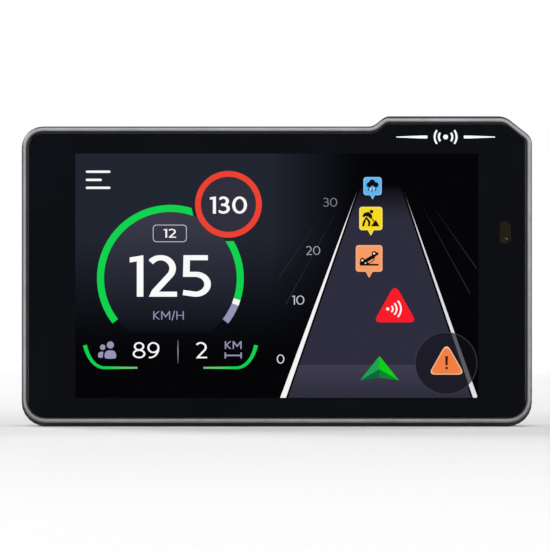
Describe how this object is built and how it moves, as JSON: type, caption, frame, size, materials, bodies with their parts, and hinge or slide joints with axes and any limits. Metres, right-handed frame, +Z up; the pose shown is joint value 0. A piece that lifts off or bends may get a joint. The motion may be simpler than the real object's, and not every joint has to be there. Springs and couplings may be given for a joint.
{
  "type": "car radar detector",
  "caption": "Slim touch-screen driver-alert unit with a lit speed display, a satin metal rim, a power key on a raised tab and a round steel seat for a magnetic holder.",
  "frame": {"origin": "middle of the underside, under the middle of the case's box: the case's lower edge stands on z = 0", "axes": "+X to the right as the driver sees it, +Z up the screen, -Y out of the screen towards the driver"},
  "size_m": [0.1096, 0.017, 0.0666],
  "materials": {
    "case_plastic": "fine moulded grain",
    "bezel_metal": "satin gunmetal paint",
    "cover_glass": "gloss, printed black behind",
    "foam": "closed-cell foam and adhesive",
    "clear_film": "clear",
    "display_panel": "gloss",
    "diffuser": "satin",
    "steel": "stamped, brushed",
    "magnesium": "cast, matt",
    "board": "solder mask",
    "flex": "satin polyimide",
    "ceramic": "fired, matt",
    "seal_rubber": "matt",
    "key_plastic": "fine moulded grain",
    "cone": "matt film",
    "magnet": "plated, satin",
    "pouch": "foil pouch",
    "lead_sheath": "satin",
    "white_plastic": "satin",
    "gold": "gold plated",
    "sensor_tint": "gloss",
    "label": "satin film"
  },
  "bodies": {
    "case": {"rear_cover": "case_plastic", "front_bezel": "bezel_metal", "front_glass": "cover_glass", "glass_gasket": "foam", "touch_sensor": "clear_film", "lcd_panel": "display_panel", "backlight": "diffuser", "lcd_frame": "steel", "lcd_flex": "flex", "touch_flex": "flex", "sensor_lens": "sensor_tint", "light_sensor": "board", "chassis": "magnesium", "main_board": "board", "modem_shield": "steel", "processor_shield": "steel", "sim_socket": "steel", "sim_card": "white_plastic", "usb_shell": "steel", "usb_tongue": "seal_rubber", "button_seal": "seal_rubber", "power_switch": "steel", "speaker_mesh": "steel", "speaker_gasket": "foam", "speaker_frame": "seal_rubber", "speaker_magnet": "magnet", "mic_boot": "seal_rubber", "microphone": "gold", "gnss_antenna": "ceramic", "cellular_antenna": "gold", "wifi_antenna": "gold", "battery": "pouch", "battery_plug": "white_plastic", "battery_lead": "lead_sheath", "plate_adhesive": "foam", "mount_plate": "steel", "rating_label": "label", "case_screw_1": "steel", "case_screw_2": "steel", "case_screw_3": "steel", "case_screw_4": "steel", "board_screw_1": "steel", "board_screw_2": "steel", "board_screw_3": "steel"},
    "power_key": {"power_button": "key_plastic"},
    "plunger": {"switch_plunger": "seal_rubber"},
    "cone": {"speaker_cone": "cone"}
  },
  "joints": [
    {"name": "power_key_press", "type": "slide", "parent": "case", "child": "power_key", "axis": [0, 0, -1], "range_m": [0, 0.0004], "stiffness_N_per_m": 1500},
    {"name": "switch_press", "type": "slide", "parent": "case", "child": "plunger", "axis": [0, 0, -1], "range_m": [0, 0.0004]},
    {"name": "cone_travel", "type": "slide", "parent": "case", "child": "cone", "axis": [0, 1, 0], "range_m": [-0.0004, 0.0004], "stiffness_N_per_m": 1200}
  ],
  "couplings": [
    {"joint": "switch_press", "follows": "power_key_press", "ratio": 1}
  ]
}
